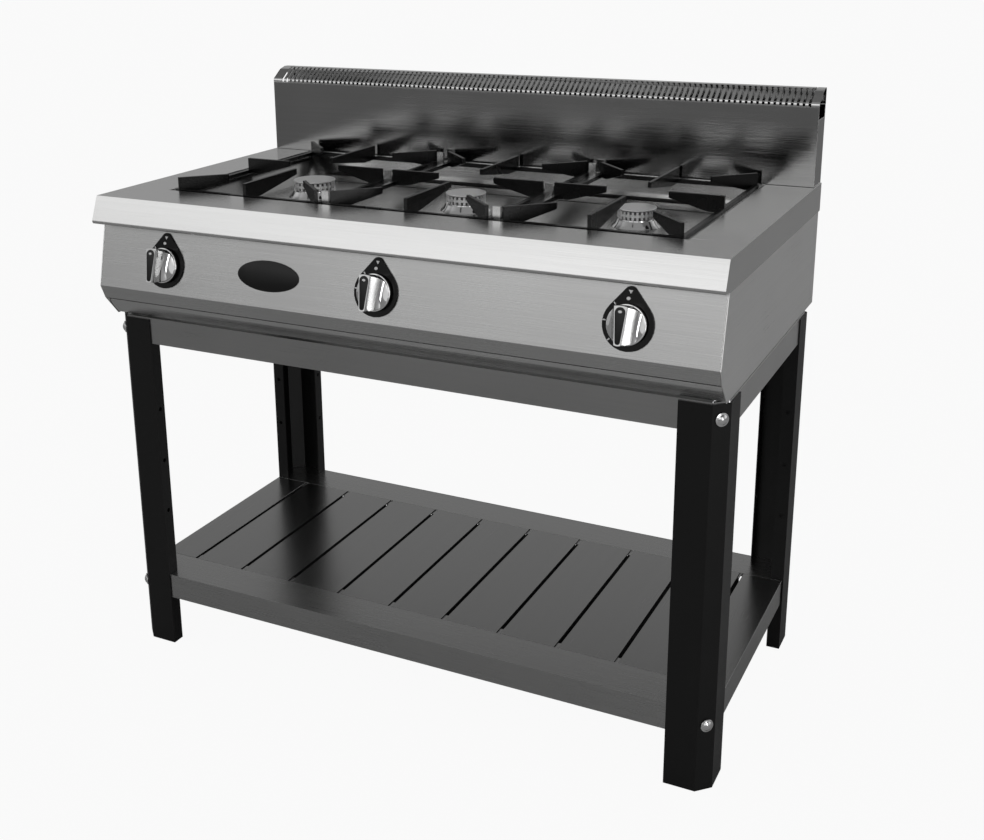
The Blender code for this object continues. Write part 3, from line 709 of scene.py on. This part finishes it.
def strip(points, wide, thick=CAP_SHEET):
    """A strip of sheet that follows points, with its width along X and its outside on the left."""
    bm = bmesh.new()
    rows = []
    for x, y, z in points:
        rows.append([bm.verts.new((x - wide / 2, y, z)), bm.verts.new((x + wide / 2, y, z))])
    for a, b in zip(rows, rows[1:]):
        bm.faces.new((a[0], a[1], b[1], b[0]))
    obj = temporary(mesh_from(bm, "strip"))
    depth = obj.modifiers.new("sheet", "SOLIDIFY")
    depth.thickness = thick
    depth.offset = -1
    depth.use_even_offset = True
    return baked(obj)


def joined(meshes):
    """One mesh from several, with the parts removed."""
    bm = bmesh.new()
    for mesh in meshes:
        bm.from_mesh(mesh)
        bpy.data.meshes.remove(mesh)
    return mesh_from(bm, "joined")


print("strips ready")

# %% [markdown]
# The closed parts of the cap are four strips: one below the slots, one behind them and one at each
# end. The bars start in the lip and end on the upper slope, where they meet the strip behind them.

# %% Vent cap pieces
left, right = cap_low[0], cap_high[0]
middle, across = (left + right) / 2, right - left
slot_foot = (cap_y, cap_z + FOOT_CLEAR)
slot_head = between(ridge, crest, SLOT_END)
slotted = across - SLOTS_FROM - SLOTS_TO + OVERLAP
cap_parts = [
    strip([(middle, *lip_foot), (middle, *slot_foot)], slotted),
    strip([(middle, *p) for p in (slot_head, crest, back_top, back_foot)], slotted),
    strip([(left + SLOTS_FROM / 2, *p) for p in fold], SLOTS_FROM),
    strip([(right - SLOTS_TO / 2, *p) for p in fold], SLOTS_TO),
]
flat_shaded(add_piece(joined(cap_parts), "vent_cap_sheet", vent_steel, "vent_cap", ["vent_cap"]))
first = left + SLOTS_FROM + SLOT_PITCH - BAR_WIDE / 2
bar = [(first, *p) for p in (slot_foot, *lip_bend, *ridge_bend)]
bar.append((first + LEAN * SLOT_END, *slot_head))
count = int((across - SLOTS_FROM - SLOTS_TO) / SLOT_PITCH)
bars = repeated(strip(bar, BAR_WIDE), along_x, count, SLOT_PITCH, vent_steel)
flat_shaded(add_piece(bars, "vent_cap_bars", vent_steel, "vent_cap"))
print("vent cap:", count, "bars")

# %% [markdown]
# ## The burners
#
# Each burner is a polished flared skirt, a dark groove, a ring of flame ports and a loose cap. The
# ports are the gaps between teeth, so the ring is a core with bright teeth round it. The core is
# painted dark as painted shade inside the ports. A tooth is a cross on its side: narrow at its ends
# and wide in the middle, which leaves a notch at the top and at the bottom of each port.

# %% Burner shapes
TEETH = 26
TOOTH_THICK = 0.003
SKIRT_FLARE, GROOVE_HIGH, STUB_LONG, STUB_R = 0.0095, 0.0125, 0.026, 0.014


def tooth(radius, low, high):
    """A cross-shaped plate that faces out along X at the ring's radius."""
    tall = high - low
    pitch = math.tau * radius / TEETH
    wide, narrow = pitch * 0.49, pitch * 0.24
    step_low, step_high = low + tall * 0.34, low + tall * 0.66
    half = [(narrow, low), (narrow, step_low), (wide, step_low)]
    half += [(wide, step_high), (narrow, step_high), (narrow, high)]
    outline = half + [(-y, z) for y, z in reversed(half)]
    bm = bmesh.new()
    face = bm.faces.new([bm.verts.new((radius - TOOTH_THICK, y, z)) for y, z in outline])
    made = bmesh.ops.extrude_face_region(bm, geom=[face])["geom"]
    moved = [v for v in made if isinstance(v, bmesh.types.BMVert)]
    bmesh.ops.translate(bm, vec=(TOOTH_THICK, 0, 0), verts=moved)
    bmesh.ops.recalc_face_normals(bm, faces=bm.faces)
    return mesh_from(bm, "tooth")


def skirt_profile(radius, base, foot):
    """The flared skirt on its stub, where the radius is the cap's."""
    groove, flare = base + GROOVE_HIGH, radius + SKIRT_FLARE
    inner, shoulder = radius - 0.0035, groove - 0.0012
    neck = [(0, groove), (inner, groove), (inner, shoulder), (radius + 0.0004, shoulder)]
    cone = [(radius + 0.0010, groove - 0.0018), (radius + 0.0042, base + 0.0050)]
    edge = [(flare - 0.0008, base + 0.0008), (flare, base), (STUB_R, base)]
    return [*neck, *cone, *edge, (STUB_R, foot), (0, foot)]


def cap_profile(radius, top, foot):
    """The loose cap, with a rounded rim that draws in below."""
    rim = arc((radius - 0.0010, top - 0.0013), 0.0010, 80, -60, 6)
    return [(0, top), (radius * 0.93, top - 0.0003), *rim, (radius - 0.0016, foot), (0, foot)]


print("burner profiles ready, teeth:", TEETH)

# %% [markdown]
# All of a burner's pieces share one axis and take their heights from the CAD boxes. A small black
# mark on the lower edge of each skirt, on the side towards the front right corner, is painted
# shade: it stands for a dark slot in the skirt.

# %% Burners
SLOT_SHADE_HALF = [(0.0026, 0.0006), (0.0026, 0.0058), (0.0014, 0.0058), (0.0014, 0.0080)]
SLOT_SHADE = [(-0.0026, 0.0006), *SLOT_SHADE_HALF, *((-x, y) for x, y in SLOT_SHADE_HALF[:0:-1])]
SLOT_SHADE_WAY, SLOT_SHADE_OUT = Vector((1, -1, 0)).normalized(), Vector((1, -1, 0.9)).normalized()


def add_burner(side):
    node, cap = "burner_" + side, "burner_cap_" + side
    low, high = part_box(node)
    cap_lo, cap_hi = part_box(cap)
    x, y = (low[0] + high[0]) / 2, (low[1] + high[1]) / 2
    radius = (cap_hi[0] - cap_lo[0]) / 2
    base, ring = low[2] + STUB_LONG, high[2]
    groove, inner = base + GROOVE_HIGH, radius - 0.0038
    skirt = skirt_profile(radius, base, low[2])
    add_piece(lathe(skirt, (x, y, 0)), node + "_skirt", burner_polish, node, [node])
    at = Vector((x, y, base)) + SLOT_SHADE_WAY * (radius + SKIRT_FLARE - 0.0012)
    slot_shade = plate(SLOT_SHADE, -0.0006, 0.0005, stand_up(at, SLOT_SHADE_OUT))
    add_piece(slot_shade, node + "_clip", painted_shade_and_seam_black, node)
    # The core is painted dark: painted shade seen through the ports.
    core = [(0, ring), (inner, ring), (inner, groove), (0, groove)]
    add_piece(lathe(core, (x, y, 0)), node + "_core", burner_port_shade, node)
    seed = tooth(radius - 0.0010, groove + 0.0012, ring - 0.0004)
    teeth = repeated(seed, round_z, TEETH, math.tau / TEETH, burner_rim)
    teeth.transform(Matrix.Translation((x, y, 0)))
    add_piece(teeth, node + "_teeth", burner_rim, node, smooth=False)
    finish = faced("burner_cap_" + side, 0.92, (x, y, 0))
    disc = lathe(cap_profile(radius, cap_hi[2], cap_lo[2]), (x, y, 0), steps=96)
    add_piece(disc, cap + "_finished", finish, cap, [cap])


for side in SIDES:
    add_burner(side)
print("burners:", len(SIDES), "with", TEETH, "teeth each")

# %% [markdown]
# ## The grates
#
# The grates are cast and enamelled, so every edge is soft and the skin is slightly uneven.

# %% Grates
for side in SIDES:
    softened("grate_" + side, grate_enamel, 0.0011, 3)
print("grates:", len(SIDES))

# %% [markdown]
# ## Hob rim
#
# The edge of the hob's cut-out is turned up into a fine bead, which catches a thin line of light.

# %% Rim bead
HOB_X, HOB_FRONT_TO_REAR = 0.4625, 0.4497
BEAD = 0.0007


def bead_loop(half_x, front, rear, corner, z):
    """A rounded rectangle in plan, as points."""
    corners = [(half_x, rear, 0), (-half_x, rear, 90), (-half_x, front, 180), (half_x, front, 270)]
    for x, y, start in corners:
        inner = (x - math.copysign(corner, x), y + (corner if y == front else -corner))
        for u, v in arc(inner, corner, start, start + 90, 4):
            yield u, v, z


def closed_tube(points, radius, name):
    curve = bpy.data.curves.new(name, "CURVE")
    curve.dimensions = "3D"
    curve.bevel_depth = radius
    curve.bevel_resolution = 2
    spline = curve.splines.new("POLY")
    spline.points.add(len(points) - 1)
    for point, at in zip(spline.points, points):
        point.co = (*at, 1)
    spline.use_cyclic_u = True
    return baked(temporary(curve, name))


hob_y = sum(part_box("burner_middle")[i][1] for i in (0, 1)) / 2
front, rear = hob_y - HOB_FRONT_TO_REAR / 2, hob_y + HOB_FRONT_TO_REAR / 2
top_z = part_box("worktop")[1][2]
loop = list(bead_loop(HOB_X - 0.0002, front + 0.0002, rear - 0.0002, 0.004, top_z - BEAD))
add_piece(closed_tube(loop, BEAD, "hob_bead"), "hob_bead", worktop_steel, "worktop")
print("rim bead: 1")

# %% [markdown]
# A seam runs across the hob floor behind the burners. At the back, a near-black strip on the
# floor is painted shade for the dark mouth of the flue, where the hot air is drawn up behind the
# splash.

# %% Flue mouth
FLOOR_TOP, FLOOR_HALF, SEAM_Y, MOUTH_Y = 0.811, 0.398, 0.179, 0.264
SEAM_WIDE, MOUTH_WIDE = 0.0016, 0.030


def slab_mesh(low, high, edge=0.0002):
    """A rectangular sheet between two corners with softened edges."""
    outline = [(low[0], low[1]), (high[0], low[1]), (high[0], high[1]), (low[0], high[1])]
    return plate(outline, low[2], high[2], Matrix.Identity(4), edge)


def slab(low, high, name, finish, node):
    return add_piece(slab_mesh(low, high), name, finish, node)


slab(
    (-FLOOR_HALF, SEAM_Y, FLOOR_TOP + 0.0001),
    (FLOOR_HALF, SEAM_Y + SEAM_WIDE, FLOOR_TOP + 0.0006),
    "hob_floor_seam",
    painted_shade_and_seam_black,
    "hob_tray",
)
slab(
    (-FLOOR_HALF, MOUTH_Y - MOUTH_WIDE, FLOOR_TOP + 0.0001),
    (FLOOR_HALF, MOUTH_Y, FLOOR_TOP + 0.0005),
    "flue_mouth_shade",
    painted_shade_and_seam_black,
    "hob_tray",
)
print("flue mouth: 2 pieces")

# %% [markdown]
# The slats' edges are turned down far enough to close the view through the slots, and these lips
# are painted near-black as painted shade. The slots then read as firm black lines from the front
# and let light through only when seen from above. Ledges carry the ends of the slats: beside a
# ledge the lips end, and below it they run on.

# %% Slat lips
LEDGE, LIP_IN, LIP_SHEET = 0.0183, 0.0006, 0.0012
for name in slats:
    low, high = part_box(name)
    front, rear, top = low[1], high[1], high[2]
    shade_lips = []
    for edge, inward in ((low[0], 1), (high[0], -1)):
        near, far = sorted(edge + inward * off for off in (LIP_IN, LIP_IN + LIP_SHEET))
        beside = (near, front + LEDGE, top - 0.0062), (far, rear - LEDGE, top - 0.0012)
        under = (near, front + 0.0004, top - 0.0182), (far, rear - 0.0004, top - 0.0060)
        shade_lips += [slab_mesh(*beside), slab_mesh(*under)]
    add_piece(joined(shade_lips), name + "_lips", painted_shade_and_seam_black, name)
print("slats with lips:", len(slats))

# %% [markdown]
# ## Taps and knobs
#
# Each tap has a drop-shaped black plate with small generic marks, and a bright knob. The knob is a
# dish with a ridge across it. Its face is a height over a disc: flat on the ridge, falling in a
# hollow curve to the rim. Columns of points run parallel to the ridge, so its edges stay crisp.

# %% Knob face
KNOB_R, RIDGE, RIDGE_GROWS = 0.0280, 0.0072, 0.32
KNOB_ROWS = 24


def ridge_point(x, y, low, high):
    """A point of the knob's face, where the ridge widens towards the pointer's end."""
    half = RIDGE * (1 + RIDGE_GROWS * y / KNOB_R)
    inside = min(abs(x), RIDGE)
    chord = math.sqrt(KNOB_R**2 - y * y) if abs(x) > RIDGE else 1
    away = (abs(x) - inside) * max(0, chord - half) / (chord - RIDGE)
    fall = math.exp(-((away / 0.0066) ** 1.4))
    dish = low + 0.0030 * (1 - (x * x + y * y) / KNOB_R**2)
    wide = inside * half / RIDGE + away
    return math.copysign(wide, x), y, dish + (high - dish) * fall


def knob_face(low, high, foot):
    """A closed solid: the shaped face, a wall round it and a flat back."""
    columns = [0.0, 0.0025, RIDGE - 0.0006, RIDGE]
    columns += [RIDGE + (KNOB_R - 0.0003 - RIDGE) * (i / 14) ** 1.25 for i in range(1, 15)]
    columns = [-x for x in reversed(columns[1:])] + columns
    bm = bmesh.new()
    top, bottom = [], []
    for x in columns:
        chord = math.sqrt(KNOB_R**2 - x * x)
        ups, downs = [], []
        for i in range(KNOB_ROWS + 1):
            share = math.sin(math.pi * (i / KNOB_ROWS - 0.5))
            y = chord * share
            point = ridge_point(x, y, low, high)
            ups.append(bm.verts.new(point))
            downs.append(bm.verts.new((*point[:2], foot)))
        top.append(ups)
        bottom.append(downs)
    last, rows = len(columns) - 1, KNOB_ROWS
    for i in range(last):
        for j in range(rows):
            bm.faces.new((top[i][j], top[i + 1][j], top[i + 1][j + 1], top[i][j + 1]))
            bm.faces.new((bottom[i][j], bottom[i][j + 1], bottom[i + 1][j + 1], bottom[i + 1][j]))
    rim = [(i, 0) for i in range(last + 1)] + [(last, j) for j in range(1, rows + 1)]
    rim += [(i, rows) for i in range(last - 1, -1, -1)] + [(0, j) for j in range(rows - 1, 0, -1)]
    for (i, j), (k, m) in zip(rim, rim[1:] + rim[:1]):
        bm.faces.new((bottom[i][j], bottom[k][m], top[k][m], top[i][j]))
    bmesh.ops.recalc_face_normals(bm, faces=bm.faces)
    return bm


print("knob face ready:", KNOB_ROWS, "rows")

# %% [markdown]
# The black inlay on the ridge is a long drop, wider at the pointer's end, with a white dot near its
# tip. The plate behind the knob gets a small triangle, a dot and three short dashes.


# %% Taps
def drop_outline(low_y, high_y, low_r, high_r):
    """A long drop in X and Y: two round ends of different radius."""
    ends = list(arc((0, high_y - high_r), high_r, 0, 180, 10))
    ends += list(arc((0, low_y + low_r), low_r, 180, 360, 10))
    return ends


PANEL_OUT = Vector(joint_of["knob_middle_turn"]["axis"]).normalized()
PANEL_UP = Vector((0, PANEL_OUT.z, -PANEL_OUT.y))
MARK_TURNS = (38, 85, 132)
BEZEL_FACE, KNOB_FOOT, KNOB_DEEP, BORE_R = 0.0028, 0.0064, 0.0412, 0.0045


def add_tap(side):
    at = Vector(joint_of[f"knob_{side}_turn"]["pos_m"])
    here = stand_up(at, PANEL_OUT)
    bezel, knob = "tap_bezel_" + side, "knob_" + side
    softened(bezel, bezel_black, 0.0008, 3)
    shapes = [(0, [(-0.0031, 0.0486), (0.0031, 0.0486), (0, 0.0434)])]
    shapes.append((4, [(x * 1.2, y) for x, y in arc((0, 0.0368), 0.0024, 0, 345, 20)]))
    for turn in MARK_TURNS:
        dash = [(-0.0009, 0.0332), (0.0009, 0.0332), (0.0009, 0.0374), (-0.0009, 0.0374)]
        shapes.append((turn, dash))
    marks = []
    for turn, outline in shapes:
        spun = here @ Matrix.Rotation(math.radians(turn), 4, "Z")
        marks.append(plate(outline, BEZEL_FACE, BEZEL_FACE + 0.0002, spun, 0))
    add_piece(joined(marks), f"tap_marks_{side}", mark_white, bezel, smooth=False)
    foot = KNOB_FOOT
    skirt = [(0, foot + 0.0050), (0.0262, foot + 0.0050)]
    skirt += arc((0.0283, foot + 0.0036), 0.0012, 100, 0, 5)
    skirt += [(0.0295, foot + 0.0004), (0.0291, foot), (BORE_R, foot), (BORE_R, foot + 0.0010)]
    skirt += [(0, foot + 0.0010)]
    add_piece(lathe(skirt, at, PANEL_OUT, 96), knob + "_skirt", knob_chrome, knob, [knob])
    bm = knob_face(foot + 0.0060, KNOB_DEEP, foot + 0.0030)
    bm.transform(here)
    add_piece(mesh_from(bm, "face"), knob + "_face", knob_chrome, knob)
    drop = drop_outline(-0.0262, 0.0262, 0.0040, 0.0078)
    inlay = plate(drop, KNOB_DEEP - 0.0010, KNOB_DEEP + 0.0006, here)
    add_piece(inlay, knob + "_inlay", grip_black, knob)
    dot = [(x * 1.5, y) for x, y in arc((0, 0.0196), 0.0019, 0, 345, 20)]
    dot = plate(dot, KNOB_DEEP + 0.0005, KNOB_DEEP + 0.0008, here, 0)
    add_piece(dot, knob + "_dot", mark_white, knob, smooth=False)


for side in SIDES:
    add_tap(side)
print("taps:", len(SIDES))

# %% [markdown]
# ## The badge
#
# A plain black oval sits between the left and the middle taps. It carries no name.

# %% Badge
BADGE_X, BADGE_UP, BADGE_THICK = -0.200, 0.0035, 0.0016
BADGE_HALF = (0.0585, 0.0250)
badge_at = Vector(joint_of["knob_middle_turn"]["pos_m"]) + PANEL_UP * BADGE_UP
badge_at.x = BADGE_X
oval = [(x * BADGE_HALF[0], y * BADGE_HALF[1]) for x, y in arc((0, 0), 1.0, 0, 354, 59)]
badge = plate(oval, 0.0, BADGE_THICK, stand_up(badge_at, PANEL_OUT), 0.0006)
add_piece(badge, "panel_badge", badge_black, "control_panel")
print("badge: 1")

# %% [markdown]
# ## Floor and light
#
# Sheet steel shows mostly what it reflects, so the room matters more than the lamps. The floor
# looks pale to the camera but reflects as grey, as a paper sweep does under a raised unit.


# %% Floor
def is_camera_ray(graph):
    return graph.add("ShaderNodeLightPath", output="Is Camera Ray")


bpy.ops.mesh.primitive_plane_add(size=60, location=(0, 0, -0.0005))
floor = bpy.context.object
floor.name = "floor"
floor_finish, floor_graph, floor_shader, _ = new_material("floor_pale")
floor_shader.inputs["Base Color"].default_value = (0.60, 0.60, 0.60, 1)
floor_shader.inputs["Roughness"].default_value = 0.9
floor_shader.inputs["Specular IOR Level"].default_value = 0.1
pale = floor_graph.add("ShaderNodeEmission", {}, {"Strength": 1.0})
matt = Signal(floor_graph, floor_shader.outputs[0])
shown_pale = is_camera_ray(floor_graph) * 0.94
sweep = floor_graph.add("ShaderNodeMixShader", {}, {0: shown_pale, 1: matt, 2: pale})
ends = floor_finish.node_tree.nodes["Material Output"]
floor_graph.feed(ends.inputs["Surface"], sweep)
floor.data.materials.append(floor_finish)
print("floor:", floor.name)

# %% [markdown]
# The room is a grey that changes with direction. The ceiling is dark, which keeps the slopes of the
# vent cap dark beside their bright lip. A band behind the camera lifts the nosing and the control
# panel, and a pale wall at the back right lights the side sheets. The camera sees plain white.


# %% Room
def ramp(graph, value, low, high):
    """A smooth step from 0 to 1 between two values."""
    return graph.add(
        "ShaderNodeMapRange",
        {"interpolation_type": "SMOOTHSTEP"},
        {"Value": value, "From Min": low, "From Max": high},
    )


world = bpy.data.worlds.new("studio")
bpy.context.scene.world = world
world.use_nodes = True
studio = Graph(world.node_tree)
way = studio.add("ShaderNodeTexCoord", output="Generated")
split = world.node_tree.nodes.new("ShaderNodeSeparateXYZ")
studio.feed(split.inputs[0], way)
way_x, way_y, way_z = (Signal(studio, socket) for socket in split.outputs)
low_front = ramp(studio, 0 - way_y, 0.66, 0.92)
band = ramp(studio, way_z, 0.16, 0.34) * ramp(studio, 0 - way_z, -0.84, -0.62)
front_band = band * ramp(studio, 0 - way_y - way_x * 0.5, 0.20, 0.80)
dark_ceiling = ramp(studio, way_z, 0.42, 0.66)
back_right = ramp(studio, way_x + way_y, 0.80, 1.25)
WALLS, LOW_FRONT, BAND, BACK_RIGHT, CEILING_CUT = 0.36, 0.26, 0.70, 0.40, 0.66
room = WALLS + low_front * LOW_FRONT + front_band * BAND + back_right * BACK_RIGHT
room = room * (1.0 - dark_ceiling * CEILING_CUT)
seen = is_camera_ray(studio)
grey = room * (1 - seen) + seen
surround = studio.add("ShaderNodeCombineColor", {}, {"Red": grey, "Green": grey, "Blue": grey})
studio.feed(world.node_tree.nodes["Background"].inputs["Color"], surround)
print("room ready")

# %% [markdown]
# Two soft boxes add the little direct light that there is: a wide, weak one overhead, and a tall
# narrow one low on the right, which draws the bright spots on the knobs and the bolts.


# %% Lamps
def softbox(name, at, towards, size, power):
    data = bpy.data.lights.new(name, "AREA")
    data.shape = "RECTANGLE"
    data.size, data.size_y = size
    data.energy = power
    lamp = bpy.data.objects.new(name, data)
    bpy.context.scene.collection.objects.link(lamp)
    lamp.matrix_world = stand_on(at, Vector(at) - Vector(towards))


softbox("overhead", (-0.3, -0.6, 3.4), (0, 0, 0.8), (4.0, 3.0), 5)
softbox("low_right", (2.9, -1.9, 1.0), (0, 0, 0.7), (0.7, 1.7), 13)
print("lamps: 2 softboxes")
